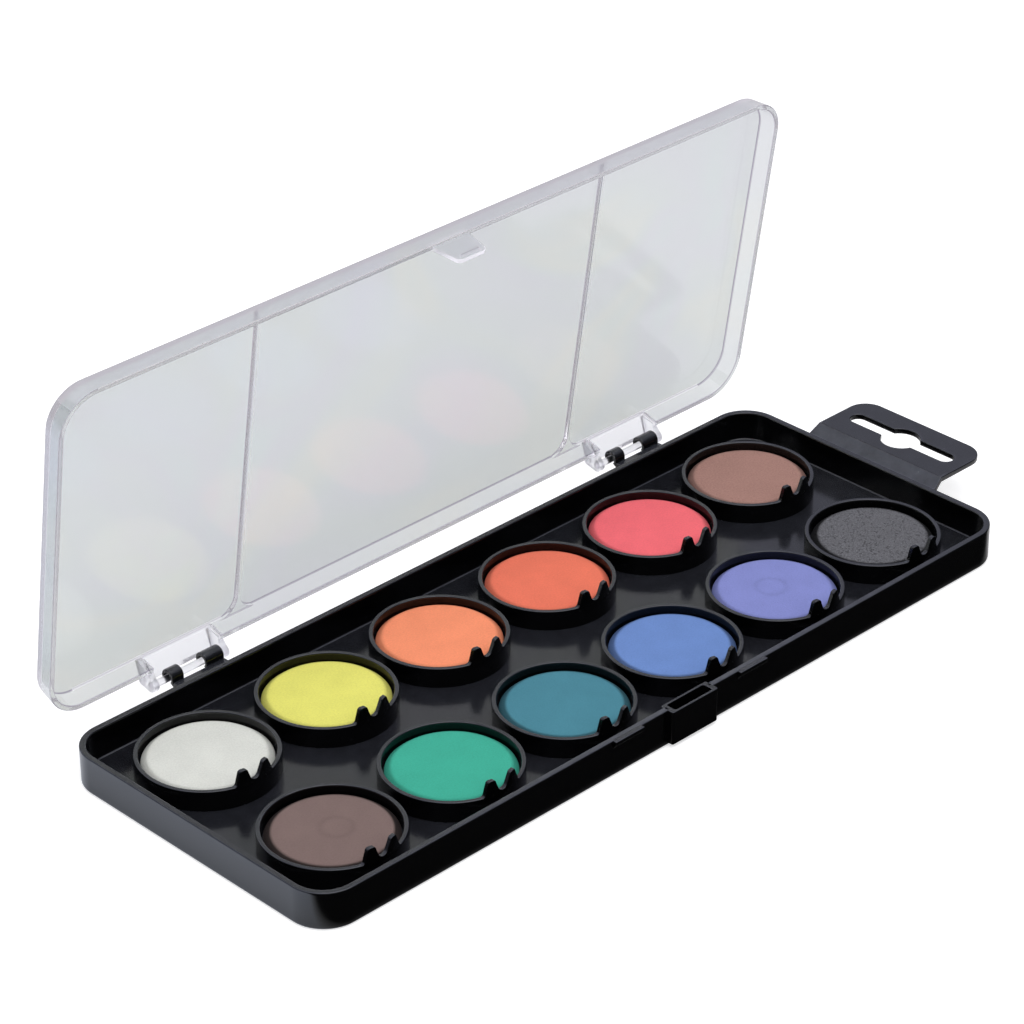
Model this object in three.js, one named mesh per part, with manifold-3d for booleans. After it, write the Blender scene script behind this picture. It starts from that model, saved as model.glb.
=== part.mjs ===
// A watercolour paint box: a black moulded tray with twelve round pans of paint, a clear lid
// on two snap hinges along the back, a latch at the front and a tab to hang the box from.
// Millimetres, Z up. The origin is the centre of the tray's underside. X runs along the tray
// towards the hang tab and Y runs back towards the hinges.

import * as THREE from 'three';
import { mergeVertices } from 'three/addons/utils/BufferGeometryUtils.js';
import Module from 'manifold-3d';

const wasm = await Module();
wasm.setup();

// Tray: outside, wall, floor, and the rounding where the sides turn into the underside.
const trayLength = 200;
const trayWidth = 76.8;
const trayHeight = 8.5;
const trayCornerRadius = 8.3;
const trayWall = 1.5;
const trayFloor = 1.7;
const footRounding = 0.7;

// Hang tab: a plate beyond the tray's right end, lifted above the rim by a short slope.
const tabReach = 18.3;
const tabThickness = 1.35;
const tabLift = 1.8;
const tabSlopeRun = 2.7;
const tabFootWidth = 37;
const tabPlateWidth = 36;
const tabCornerRadius = 5;
const slotReach = 10.2;
const slotEndBar = 3.3;
const slotWidth = 4;
const slotBulgeReach = 9.75;
const slotBulgeRadius = 4.5;

// Latch block in the middle of the front wall, and the pocket in it for the lid's tongue.
const latchLength = 13.3;
const latchProud = 1.5;
const latchDrop = 7.8;
const latchRounding = 0.5;
const pocketLength = 10.8;
const pocketWidth = 2.5;
const pocketDepth = 6.8;
const pocketRounding = 0.4;
const pocketFrontBar = 0.55;
const pocketRearBar = 0.55;

// Finger ledges on the rim, one on each side of the latch.
const ledgeOffset = 18.2;
const ledgeLength = 8.2;
const ledgeProud = 0.9;
const ledgeLip = 0.8;
const ledgeHeight = 2;

// Hinges: the axis lies level with the rim, behind the back wall. Two hooks, a narrow one and
// a wide one, stand on a shelf of the tray and reach over each pin. The round of their backs
// lies a little above the axis, so they are thickest on top. Places along X are from the
// middle of the hinge, whose own place is a share of the tray's length from the tray's middle.
const hingePlaceShare = 0.3225;
const hingeSetback = 3.3;
const pinRadius = 0.78;
const pinClearance = 0.3;
const hookRadius = 1.8;
const hookRise = 0.2;
const shelfDrop = 0.3;
const shelfFootDrop = 3.2;
const narrowHookStart = -5.5;
const narrowHookWidth = 3;
const wideHookStart = 3.5;
const wideHookWidth = 4.7;

// Pans: two rows of cups, each dropped over a key on the tray's floor. They fill the tray's
// length but for the gaps between them and at the ends of a row. Of the width that they leave,
// a share goes to each side and the rest between the rows.
const panGap = 1.99;
const panEndGap = 4.425;
const panSideShare = 0.2514;
const panWall = 1;
const panHeight = 4.6;
const panFloor = 0.7;
const panRimChamfer = 0.2;
const keyRadius = 4;
const keyHeight = 0.4;
const keyClearance = 0.2;

// Comb on the front of each pan, to wipe the brush on: two blunt teeth with a round valley
// between them. Places along X are from the pan's middle.
const combHeight = 3.4;
const combLeftFoot = -4.4;
const combRightFoot = 4.9;
const toothRounding = 0.65;
const toothFlat = 0.55;
const leftToothPlace = -2.82;
const rightToothPlace = 2.7;
const combValleyPlace = -0.3;
const combValleyRadius = 0.85;
const combValleyHeight = 0.47;

// Tablets of paint, each with a bevelled edge.
const tabletClearance = 0.45;
const tabletSink = 1;
const tabletBevelRun = 1.3;
const tabletBevelDrop = 1;

// Lid: how far its rim stands out past the tray's ends, front and back, its top above the
// tray's rim, the gap at the rim, the plate, the wall and its lean. The ribs that part its wells
// stand a share of the tray's length from the middle.
const lidEndOverhang = 0.4;
const lidFrontOverhang = 0.15;
const lidBackOverhang = 0.55;
const lidHeight = 5.7;
const lidGap = 0.45;
const lidPlate = 1.1;
const lidWall = 1.2;
const lidLean = 0.7;
const lidCornerRadius = 9;
const ribPlaceShare = 0.241;
const ribWidth = 0.8;
const ribHeight = 0.9;
const ribFlareRadius = 4.5;

// Tongue of the latch, which hangs from the lid's front wall into the pocket.
const tongueReach = 6.3;
const tongueThickness = 1;
const tongueSetback = 0.38;
const tongueRootRise = 2.5;
const tongueRootWidth = 12;
const tongueNeckWidth = 9.8;
const tongueTipWidth = 8.4;
const tongueRounding = 1.6;
const beadRadius = 0.3;
const beadRise = 1.2;

// Hinge lugs of the lid: a web that slants from the plate to the pin, closed by an ear at each
// end.
const lugWidth = 20.1;
const earWidth = 1.5;
const earRadius = 1.4;
const earStep = 0.5;
const earRise = 0.3;
const earProud = 0.15;
const webThickness = 1;
const webOverhang = 0.6;
const webClearance = 0.3;

// Depth to which joined shapes run into each other, and how far cuts run past what they cut.
const weld = 0.3;
const overrun = 2;

// Angles in degrees.
const lidOpenAngle = 81.2;
const narrowHookLipAngle = 60;
const wideHookLipAngle = 35;
const hookMouthAngle = 50;
const earUndersideAngle = 225;

// The keys' flat, as a share of their radius from the middle.
const keyFlatShare = 0.6;

// Steps along a curve: per quarter of a corner (twice this many), and round a whole turn.
const cornerSteps = 4;
const smallArcSteps = 4;
const roundingSteps = 2;
const footSteps = 3;
const panSteps = 36;
const keySteps = 5;
const pinSteps = 24;

// Paints in each row, from the left: name, and colour of the tablet.
const backRow = [
  ['white', '#dadbd6'],
  ['yellow', '#e3df74'],
  ['orange', '#f49370'],
  ['vermilion', '#ea7b63'],
  ['crimson', '#ee7078'],
  ['light_brown', '#a27e76'],
];
const frontRow = [
  ['dark_brown', '#806c6b'],
  ['green', '#45b099'],
  ['teal', '#4d8798'],
  ['blue', '#6f8cc9'],
  ['violet', '#868fca'],
  ['black', '#636268'],
];

const quarter = Math.PI / 2;
const turned = THREE.MathUtils.degToRad;

const hingeY = trayWidth / 2 + hingeSetback;
const hingeOffset = trayLength * hingePlaceShare;

const slotLength = tabPlateWidth - 2 * slotEndBar;
const insideLength = trayLength - 2 * trayWall;
const insideWidth = trayWidth - 2 * trayWall;
const panColumns = backRow.length;
const panGaps = 2 * panEndGap + (panColumns - 1) * panGap;
const panRadius = (insideLength - panGaps) / (2 * panColumns);
const panPitch = 2 * panRadius + panGap;
const panSideGap = (insideWidth - 4 * panRadius) * panSideShare;
const panRowSpacing = insideWidth - 2 * panSideGap - 2 * panRadius;

// Places in the lid's own frame, whose origin is on the hinge axis with the lid shut.
const lidLength = trayLength + 2 * lidEndOverhang;
const lidWidth = trayWidth + lidFrontOverhang + lidBackOverhang;
const ribOffset = trayLength * ribPlaceShare;
const plateUnderside = lidHeight - lidPlate;
const lidBack = lidBackOverhang - hingeSetback;
const lidFront = lidBack - lidWidth;
const lidSlope = lidLean / (lidHeight - lidGap);

// Shapes and solids

function roundedOutline(length, width, radius) {
  const x = length / 2 - radius;
  const y = width / 2 - radius;
  const outline = new THREE.Shape();
  outline.absarc(x, -y, radius, -quarter, 0);
  outline.absarc(x, y, radius, 0, quarter);
  outline.absarc(-x, y, radius, quarter, Math.PI);
  outline.absarc(-x, -y, radius, Math.PI, Math.PI + quarter);
  outline.closePath();
  return outline;
}

function polygon(points) {
  const outline = new THREE.Shape();
  outline.setFromPoints(points.map(([x, y]) => new THREE.Vector2(x, y)));
  return outline;
}

// Welds a geometry's corners and makes it a solid, without the triangles that have no area.
function solid(geometry) {
  const bare = new THREE.BufferGeometry();
  bare.setAttribute('position', geometry.getAttribute('position'));
  bare.setIndex(geometry.getIndex());
  const welded = mergeVertices(bare);
  const index = welded.getIndex().array;
  const corners = [];
  for (let i = 0; i < index.length; i += 3) {
    const [a, b, c] = [index[i], index[i + 1], index[i + 2]];
    if (a !== b && b !== c && c !== a) corners.push(a, b, c);
  }
  return new wasm.Manifold(new wasm.Mesh({
    numProp: 3,
    vertProperties: new Float32Array(welded.getAttribute('position').array),
    triVerts: new Uint32Array(corners),
  }));
}

function join(parts) {
  return parts.reduce((whole, part) => whole.add(part));
}

function cut(whole, tools) {
  return tools.reduce((rest, tool) => rest.subtract(tool), whole);
}

function box([left, right], [front, back], [bottom, top]) {
  const geometry = new THREE.BoxGeometry(right - left, back - front, top - bottom);
  geometry.translate((left + right) / 2, (front + back) / 2, (bottom + top) / 2);
  return solid(geometry);
}

// An outline in X and Y, raised from one height to another.
function raised(outline, bottom, top, steps = cornerSteps) {
  const options = { depth: top - bottom, curveSegments: steps, bevelEnabled: false };
  return solid(new THREE.ExtrudeGeometry(outline, options).translate(0, 0, bottom));
}

// An outline in Y and Z, drawn out along X from its left end.
function alongX(outline, left, width) {
  const options = { depth: width, curveSegments: smallArcSteps, bevelEnabled: false };
  const geometry = new THREE.ExtrudeGeometry(outline, options);
  geometry.applyMatrix4(new THREE.Matrix4().makeBasis(
    new THREE.Vector3(0, 1, 0),
    new THREE.Vector3(0, 0, 1),
    new THREE.Vector3(1, 0, 0),
  ));
  return solid(geometry.translate(left, 0, 0));
}

// An outline in X and Z, drawn out along Y towards the front from its back face.
function alongY(outline, back, depth) {
  const options = { depth, curveSegments: smallArcSteps, bevelEnabled: false };
  const geometry = new THREE.ExtrudeGeometry(outline, options);
  return solid(geometry.rotateX(quarter).translate(0, back, 0));
}

// A profile of radii and heights, turned round the Z axis.
function revolved(profile) {
  const points = profile.map(([radius, height]) => new THREE.Vector2(radius, height));
  return solid(new THREE.LatheGeometry(points, panSteps).rotateX(quarter));
}

// A rod along X between two places.
function rod(radius, left, right) {
  const geometry = new THREE.CylinderGeometry(radius, radius, right - left, pinSteps);
  return solid(geometry.rotateZ(quarter).translate((left + right) / 2, 0, 0));
}

// Tray

function trayShell() {
  const foot = footRounding;
  const outline = roundedOutline(
    trayLength - 2 * foot,
    trayWidth - 2 * foot,
    trayCornerRadius - foot,
  );
  const body = new THREE.ExtrudeGeometry(outline, {
    depth: trayHeight,
    curveSegments: cornerSteps,
    bevelThickness: foot,
    bevelSize: foot,
    bevelSegments: footSteps,
  });
  const inside = roundedOutline(
    trayLength - 2 * trayWall,
    trayWidth - 2 * trayWall,
    trayCornerRadius - trayWall,
  );
  const aboveRim = box(
    [-trayLength, trayLength],
    [-trayWidth, trayWidth],
    [trayHeight, trayHeight + 2 * foot + overrun],
  );
  const hollow = raised(inside, trayFloor, trayHeight + overrun);
  return cut(solid(body.translate(0, 0, foot)), [aboveRim, hollow]);
}

// A round boss with a flat towards the front, grown by the clearance where it is a recess.
function key(growth) {
  const radius = keyRadius + growth;
  const flat = keyRadius * keyFlatShare + growth;
  const halfAngle = Math.acos(flat / radius);
  const outline = new THREE.Shape();
  outline.absarc(0, 0, radius, halfAngle - quarter, Math.PI + quarter - halfAngle);
  outline.closePath();
  return raised(outline, -weld, keyHeight + growth, keySteps);
}

function latchBlock() {
  const depth = pocketFrontBar + pocketWidth + pocketRearBar;
  const front = -trayWidth / 2 - latchProud;
  const outline = roundedOutline(latchLength, depth, latchRounding);
  const block = raised(outline, trayHeight - latchDrop, trayHeight, roundingSteps);
  return block.translate([0, front + depth / 2, 0]);
}

function latchPocket() {
  const front = -trayWidth / 2 - latchProud + pocketFrontBar;
  const outline = roundedOutline(pocketLength, pocketWidth, pocketRounding);
  const bottom = trayHeight - pocketDepth;
  const pocket = raised(outline, bottom, trayHeight + overrun, roundingSteps);
  return pocket.translate([0, front + pocketWidth / 2, 0]);
}

// A lip level with the rim, with a slope under it.
function ledge(x) {
  const wall = -trayWidth / 2;
  const outline = polygon([
    [wall + weld, trayHeight],
    [wall - ledgeProud, trayHeight],
    [wall - ledgeProud, trayHeight - ledgeLip],
    [wall, trayHeight - ledgeHeight],
    [wall + weld, trayHeight - ledgeHeight],
  ]);
  return alongX(outline, x - ledgeLength / 2, ledgeLength);
}

// The tab's section along X: out of the end wall, up the slope and along the plate.
function tabSection() {
  const wall = trayLength / 2;
  const plateTop = trayHeight + tabLift;
  return polygon([
    [wall - weld, trayHeight],
    [wall, trayHeight],
    [wall + tabSlopeRun, plateTop],
    [wall + tabReach, plateTop],
    [wall + tabReach, plateTop - tabThickness],
    [wall + tabSlopeRun, plateTop - tabThickness],
    [wall, trayHeight - tabThickness],
    [wall - weld, trayHeight - tabThickness],
  ]);
}

// The tab seen from above: a little wider at its foot, with two round outer corners.
function tabOutline() {
  const wall = trayLength / 2;
  const foot = tabFootWidth / 2;
  const half = tabPlateWidth / 2;
  const cornerX = wall + tabReach - tabCornerRadius;
  const cornerY = half - tabCornerRadius;
  const outline = new THREE.Shape();
  outline.moveTo(wall - weld, foot);
  outline.lineTo(wall - weld, -foot);
  outline.lineTo(wall, -foot);
  outline.lineTo(wall + tabSlopeRun, -half);
  outline.absarc(cornerX, -cornerY, tabCornerRadius, -quarter, 0);
  outline.absarc(cornerX, cornerY, tabCornerRadius, 0, quarter);
  outline.lineTo(wall + tabSlopeRun, half);
  outline.lineTo(wall, foot);
  outline.closePath();
  return outline;
}

// The slot that a peg passes through: long, round at both ends, with a bulge in the middle.
function hangSlot() {
  const bottom = trayHeight - tabThickness - overrun;
  const top = trayHeight + tabLift + overrun;
  const slot = raised(roundedOutline(slotWidth, slotLength, slotWidth / 2), bottom, top);
  const circle = new THREE.Shape();
  circle.absarc(slotBulgeReach - slotReach, 0, slotBulgeRadius, 0, 2 * Math.PI);
  const bulge = raised(circle, bottom, top, 2 * cornerSteps);
  return slot.add(bulge).translate([trayLength / 2 + slotReach, 0, 0]);
}

function hangTab() {
  const plate = alongY(tabSection(), tabFootWidth, 2 * tabFootWidth);
  const top = trayHeight + tabLift;
  const seenFromAbove = raised(tabOutline(), trayHeight - tabThickness - overrun, top + overrun);
  return cut(plate.intersect(seenFromAbove), [hangSlot()]);
}

// A hook seen from the end, from the hinge axis: up from the shelf, over the pin and down
// behind it. It stays open below, where the pin snapped in.
function hookOutline(lipAngle) {
  const bore = pinRadius + pinClearance;
  const lip = turned(lipAngle);
  const outline = new THREE.Shape();
  outline.moveTo(-hookRadius - weld, -hookRadius);
  outline.lineTo(-hookRadius - weld, -shelfDrop - weld);
  outline.lineTo(-hookRadius, -shelfDrop - weld);
  outline.absarc(0, hookRise, hookRadius, Math.PI, -lip, true);
  outline.absarc(0, 0, bore, -lip, Math.PI + turned(hookMouthAngle));
  outline.closePath();
  return outline;
}

// The shelf between the back wall and the hooks, with a slope under it.
function shelfOutline() {
  const inWall = -hingeSetback - trayWall / 2;
  return polygon([
    [inWall, -shelfDrop],
    [-hookRadius, -shelfDrop],
    [-hookRadius, -hookRadius],
    [-hingeSetback, -shelfFootDrop],
    [inWall, -shelfFootDrop],
  ]);
}

function hooks(x) {
  const start = x + narrowHookStart;
  const end = x + wideHookStart + wideHookWidth;
  const narrow = alongX(hookOutline(narrowHookLipAngle), start, narrowHookWidth);
  const wide = alongX(hookOutline(wideHookLipAngle), x + wideHookStart, wideHookWidth);
  const shelf = alongX(shelfOutline(), start, end - start);
  return join([narrow, wide, shelf]).translate([0, hingeY, trayHeight]);
}

function tray() {
  const hinges = [-hingeOffset, hingeOffset];
  const keys = panPlaces().map(({ x, y }) => key(0).translate([x, y, trayFloor]));
  const ledges = [-ledgeOffset, ledgeOffset].map(ledge);
  const added = [...hinges.map(hooks), ...keys, ...ledges, latchBlock(), hangTab()];
  return cut(join([trayShell(), ...added]), [latchPocket()]);
}

// Pans and tablets

function panPlaces() {
  const rows = [[backRow, panRowSpacing / 2], [frontRow, -panRowSpacing / 2]];
  return rows.flatMap(([paints, y]) => paints.map(([name, colour], column) => {
    const x = (column - (paints.length - 1) / 2) * panPitch;
    return { name, colour, x, y };
  }));
}

const recessDepth = keyHeight + keyClearance;
const panInside = recessDepth + panFloor;

function cup() {
  const inner = panRadius - panWall;
  return revolved([
    [0, 0],
    [panRadius, 0],
    [panRadius, panHeight - panRimChamfer],
    [panRadius - panRimChamfer, panHeight],
    [inner + panRimChamfer, panHeight],
    [inner, panHeight - panRimChamfer],
    [inner, panInside],
    [0, panInside],
  ]);
}

// Over a tooth from right to left: a round shoulder, a flat top and a second round shoulder.
function addTooth(outline, place) {
  const shoulder = combHeight - toothRounding;
  outline.absarc(place + toothFlat / 2, shoulder, toothRounding, 0, quarter);
  outline.absarc(place - toothFlat / 2, shoulder, toothRounding, quarter, Math.PI);
}

// The two teeth seen from the front, from the pan's rim.
function combOutline() {
  const valley = combValleyHeight + combValleyRadius;
  const outline = new THREE.Shape();
  outline.moveTo(combRightFoot, -weld);
  outline.lineTo(combRightFoot, 0);
  addTooth(outline, rightToothPlace);
  outline.absarc(combValleyPlace, valley, combValleyRadius, 0, -Math.PI, true);
  addTooth(outline, leftToothPlace);
  outline.lineTo(combLeftFoot, 0);
  outline.lineTo(combLeftFoot, -weld);
  outline.closePath();
  return outline;
}

// The teeth are cut out of a ring that carries on the pan's wall.
function comb() {
  const inner = panRadius - panWall;
  const bottom = panHeight - panRimChamfer;
  const top = panHeight + combHeight + overrun;
  const ring = revolved([
    [inner, bottom],
    [panRadius, bottom],
    [panRadius, top],
    [inner, top],
    [inner, bottom],
  ]);
  const teeth = alongY(combOutline(), 0, panRadius + overrun);
  return ring.intersect(teeth.translate([0, 0, panHeight]));
}

function pan() {
  return cut(cup().add(comb()), [key(keyClearance)]);
}

function tablet() {
  const radius = panRadius - panWall - tabletClearance;
  const height = panHeight - panInside - tabletSink;
  return revolved([
    [0, 0],
    [radius, 0],
    [radius, height - tabletBevelDrop],
    [radius - tabletBevelRun, height],
    [0, height],
  ]);
}

// Lid, drawn shut, from the hinge axis

// A block under the given outline, whose sides lean outwards on the way down.
function leaningBlock(outline, height, top) {
  const geometry = new THREE.ExtrudeGeometry(outline, {
    depth: height,
    curveSegments: cornerSteps,
    bevelThickness: height,
    bevelSize: height * lidSlope,
    bevelSegments: 1,
  });
  return solid(geometry.translate(0, (lidFront + lidBack) / 2, top - 2 * height));
}

function lidShell() {
  const length = lidLength - 2 * lidLean;
  const width = lidWidth - 2 * lidLean;
  const radius = lidCornerRadius - lidLean;
  const height = lidHeight - lidGap + overrun;
  const outside = leaningBlock(roundedOutline(length, width, radius), height, lidHeight);
  const growth = lidSlope * lidPlate - lidWall;
  const insideOutline = roundedOutline(length + 2 * growth, width + 2 * growth, radius + growth);
  const inside = leaningBlock(insideOutline, height, plateUnderside);
  const belowRim = box(
    [-lidLength, lidLength],
    [lidFront - lidWidth, lidBack + lidWidth],
    [lidGap - 4 * height, lidGap],
  );
  return cut(outside, [inside, belowRim]);
}

// A rib along Y that parts the wells. It runs square into the front wall, and flares into the
// back wall with a round corner on each side.
function rib(x) {
  const half = ribWidth / 2;
  const inset = lidWall + lidLean - lidSlope * (lidPlate + ribHeight);
  const back = lidBack - inset;
  const front = lidFront + inset;
  const flare = back - ribFlareRadius;
  const outline = new THREE.Shape();
  outline.moveTo(-half, front - weld);
  outline.lineTo(half, front - weld);
  outline.absarc(half + ribFlareRadius, flare, ribFlareRadius, Math.PI, quarter, true);
  outline.lineTo(half + ribFlareRadius, back + weld);
  outline.lineTo(-half - ribFlareRadius, back + weld);
  outline.absarc(-half - ribFlareRadius, flare, ribFlareRadius, quarter, 0, true);
  outline.closePath();
  const body = raised(outline, plateUnderside - ribHeight, plateUnderside + weld);
  return body.translate([x, 0, 0]);
}

// The tongue seen from the front, from the tray's rim: wide at its root, narrower at its tip.
function tongueOutline() {
  const tip = tongueTipWidth / 2 - tongueRounding;
  const corner = tongueRounding - tongueReach;
  const outline = new THREE.Shape();
  outline.moveTo(tongueRootWidth / 2, tongueRootRise);
  outline.lineTo(-tongueRootWidth / 2, tongueRootRise);
  outline.lineTo(-tongueNeckWidth / 2, 0);
  outline.absarc(-tip, corner, tongueRounding, Math.PI, Math.PI + quarter);
  outline.absarc(tip, corner, tongueRounding, -quarter, 0);
  outline.lineTo(tongueNeckWidth / 2, 0);
  outline.closePath();
  return outline;
}

// The tongue carries a bead across its outer face near the tip, which snaps into the pocket.
function tongue() {
  const outerFace = -hingeY - trayWidth / 2 + tongueSetback;
  const blade = alongY(tongueOutline(), outerFace + tongueThickness, tongueThickness);
  const half = tongueTipWidth / 2 - tongueRounding;
  const bead = rod(beadRadius, -half, half);
  return blade.add(bead.translate([0, outerFace, beadRise - tongueReach]));
}

// The web's tip is round and keeps clear of the hooks all the way round the pin.
const webTip = hookRise + hookRadius + webClearance + webThickness / 2;

// The line up the back of a lug: the web's round tip and its upper face, which ends inside the
// lid's corner. The ears stand a little proud of it.
function addWebBack(outline, growth) {
  outline.absarc(webOverhang, webTip, webThickness / 2 + growth, 0, quarter);
  outline.lineTo(lidBack - lidLean - weld, lidHeight - weld + growth);
}

function webOutline() {
  const outline = new THREE.Shape();
  outline.moveTo(lidBack - lidLean - lidWall, plateUnderside + weld);
  outline.absarc(webOverhang, webTip, webThickness / 2, -quarter, 0);
  addWebBack(outline, 0);
  outline.closePath();
  return outline;
}

function earOutline() {
  const outline = new THREE.Shape();
  outline.moveTo(lidBack - lidWall / 2, lidGap + earRise);
  outline.lineTo(lidBack + earStep, lidGap + earRise);
  outline.absarc(0, 0, earRadius, turned(earUndersideAngle), 2 * Math.PI);
  addWebBack(outline, earProud);
  outline.closePath();
  return outline;
}

function lug(x) {
  const left = x - lugWidth / 2;
  const right = x + lugWidth / 2;
  const web = alongX(webOutline(), left + weld, lugWidth - 2 * weld);
  const ears = [left, right - earWidth].map((start) => alongX(earOutline(), start, earWidth));
  const pin = rod(pinRadius, left + weld, right - weld);
  return join([web, ...ears, pin]);
}

// Between its ears the lid's back wall is open, so that it clears the hooks.
function lugOpening(x) {
  const front = lidBack - lidLean - lidWall - weld;
  const half = lugWidth / 2 - earWidth + weld;
  return box([x - half, x + half], [front, lidBack + overrun], [-overrun, plateUnderside - weld]);
}

function lid() {
  const hinges = [-hingeOffset, hingeOffset];
  const shell = cut(lidShell(), hinges.map(lugOpening));
  const ribs = [-ribOffset, ribOffset].map(rib);
  return join([shell, ...hinges.map(lug), ...ribs, tongue()]);
}

// Scene

function mesh(name, body, material) {
  const { vertProperties, triVerts } = body.getMesh();
  const geometry = new THREE.BufferGeometry();
  geometry.setAttribute('position', new THREE.BufferAttribute(vertProperties, 3));
  geometry.setIndex(new THREE.BufferAttribute(triVerts, 1));
  geometry.computeVertexNormals();
  const object = new THREE.Mesh(geometry, new THREE.MeshStandardMaterial(material));
  object.name = name;
  return object;
}

function placed(object, x, y, z) {
  object.position.set(x, y, z);
  return object;
}

const paintBox = new THREE.Group();
paintBox.name = 'watercolour_paint_box';
paintBox.add(mesh('tray', tray(), { color: '#1b1b1e', roughness: 0.3, metalness: 0 }));

const panBody = pan();
const tabletBody = tablet();
for (const { name, colour, x, y } of panPlaces()) {
  const plastic = { color: '#1e1e21', roughness: 0.35, metalness: 0 };
  const paint = { color: colour, roughness: 0.9, metalness: 0 };
  paintBox.add(placed(mesh(`pan_${name}`, panBody, plastic), x, y, trayFloor));
  paintBox.add(placed(mesh(`tablet_${name}`, tabletBody, paint), x, y, trayFloor + panInside));
}

const swing = placed(new THREE.Group(), 0, hingeY, trayHeight);
swing.rotation.x = -turned(lidOpenAngle);
const clear = { color: '#dfe5ea', roughness: 0.08, metalness: 0, transparent: true, opacity: 0.35 };
swing.add(mesh('lid', lid(), clear));
paintBox.add(swing);

export default paintBox;
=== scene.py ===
import bpy
import numpy as np
from mathutils import Matrix


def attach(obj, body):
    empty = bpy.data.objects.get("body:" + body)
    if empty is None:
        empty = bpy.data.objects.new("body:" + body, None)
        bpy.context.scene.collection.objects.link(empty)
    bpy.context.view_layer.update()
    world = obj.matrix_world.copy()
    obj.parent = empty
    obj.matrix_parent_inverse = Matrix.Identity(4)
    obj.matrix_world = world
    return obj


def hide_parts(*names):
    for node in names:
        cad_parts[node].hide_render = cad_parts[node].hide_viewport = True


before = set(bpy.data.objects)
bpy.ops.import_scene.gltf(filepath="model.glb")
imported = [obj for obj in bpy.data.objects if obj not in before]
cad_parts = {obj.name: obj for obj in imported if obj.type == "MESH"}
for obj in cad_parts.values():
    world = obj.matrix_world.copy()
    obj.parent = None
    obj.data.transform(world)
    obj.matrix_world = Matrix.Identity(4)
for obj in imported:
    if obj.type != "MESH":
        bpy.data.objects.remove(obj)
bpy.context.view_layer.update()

# Tray
# The tray is one injection moulding in black polystyrene: floor, walls, latch block, finger
# ledges, hinge hooks and hang tab. Its edges are a little rounded, as the mould leaves them, its
# walls have a fine satin, and its edges and faces that look up are paler: wear, dust and painted sheen.

# Sizes are in millimetres. SINK is how far a shell runs into the one that carries it. A ring
# that lies a hold's distance beyond a rounding keeps the face there flat. Each cut list says
# how far the corners of its outline are eased, in the outline's order.
TRAY_LENGTH, TRAY_WIDTH, TRAY_HEIGHT, TRAY_CORNER = 200, 76.8, 8.5, 8.3
TRAY_WALL, TRAY_FLOOR, FOOT_ROUNDING = 1.5, 1.7, 0.7
RIM_OUTER_ROUNDING, RIM_INNER_ROUNDING, FLOOR_FILLET = 0.3, 0.45, 0.5
SIDE_HOLD, FLAT_HOLD, SINK = 0.3, 0.4, 0.3
LATCH_LENGTH, LATCH_DEPTH, LATCH_BOTTOM, LATCH_FRONT = 13.3, 3.6, 0.7, -39.9
LATCH_CORNER, LATCH_FOOT_ROUNDING, LATCH_RIM_ROUNDING = 0.5, 0.25, 0.12
POCKET_LENGTH, POCKET_WIDTH, POCKET_BOTTOM, POCKET_CORNER, WALL_GAP = 10.8, 2.5, 1.72, 0.4, 12
LEDGE_OFFSET, LEDGE_LENGTH, LEDGE_REACH, LEDGE_LIP, LEDGE_DROP = 18.2, 8.2, 0.9, 0.8, 2
LEDGE_CUTS, LEDGE_ROUNDING = (0.02, 0.02, 0.2, 0.15, 0.15), 0.25
HINGE_OFFSET, HINGE_Y = 64.5, 41.7
HOOK_RADIUS, HOOK_RISE, HOOK_BORE, HOOK_FOOT, HOOK_ROUNDING = 1.8, 0.2, 1.08, 0.6, 0.22
HOOKS = ((-5.5, 3, -60), (3.5, 4.7, -35))  # where each starts, its width and its lip's angle
SHELF_DROP, SHELF_TOP, SHELF_ROUNDING = 3.2, 0.3, 0.2
SHELF_CUTS = (0.02, 0.2, 0.2, 0.25, 0.02)
TAB_REACH, TAB_THICKNESS, TAB_LIFT, TAB_SLOPE = 18.3, 1.35, 1.8, 2.7
TAB_FOOT, TAB_PLATE, TAB_CORNER, TAB_ROUNDING, TAB_BAND = 18.5, 18, 5, 0.25, 0.75
SLOT_REACH, SLOT_HALF, SLOT_END, SLOT_BULGE, BULGE_SHIFT = 10.2, 2, 12.7, 4.5, 0.45
KEY_RADIUS, KEY_BOTTOM, KEY_TOP, KEY_ROUNDING, KEY_CUT = 4, 1.4, 2.1, 0.1, 36.9
PAN_PITCH, PAN_ROWS = 31.69, 36.86
pan_places = [((column - 2.5) * PAN_PITCH, side * PAN_ROWS) for side in (0.5, -0.5) for column in range(6)]


def arc(centre, radius, start, end, steps):
    """Points on a circle about the centre, at equal angles from start to end, in degrees."""
    angle = np.radians(np.linspace(start, end, steps + 1))
    return np.stack([centre[0] + radius * np.cos(angle), centre[1] + radius * np.sin(angle)], 1)


def rounded_rectangle(length, width, radius, steps=14, centre=(0, 0)):
    """Four quarter circles, one at each corner, anticlockwise from the front right one."""
    x, y = length / 2 - radius, width / 2 - radius
    corners = [(x, -y, -90), (x, y, 0), (-x, y, 90), (-x, -y, 180)]
    outline = np.concatenate([arc((a, b), radius, start, start + 90, steps) for a, b, start in corners])
    return outline + np.array(centre)


def eased(points, cut, steps=3):
    """Each corner of a polygon becomes the parabola from the cut distance before the corner to
    the same distance after it, with the corner as its control point."""
    points = np.array(points, float)
    cut = np.broadcast_to(cut, len(points))[:, None]
    back, on = np.roll(points, 1, 0) - points, np.roll(points, -1, 0) - points
    first = points + back / np.linalg.norm(back, axis=1)[:, None] * cut
    last = points + on / np.linalg.norm(on, axis=1)[:, None] * cut
    t = np.linspace(0, 1, steps + 1)[:, None, None]
    curve = (1 - t) ** 2 * first + 2 * t * (1 - t) * points + t ** 2 * last
    return curve.transpose(1, 0, 2).reshape(-1, 2)


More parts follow.
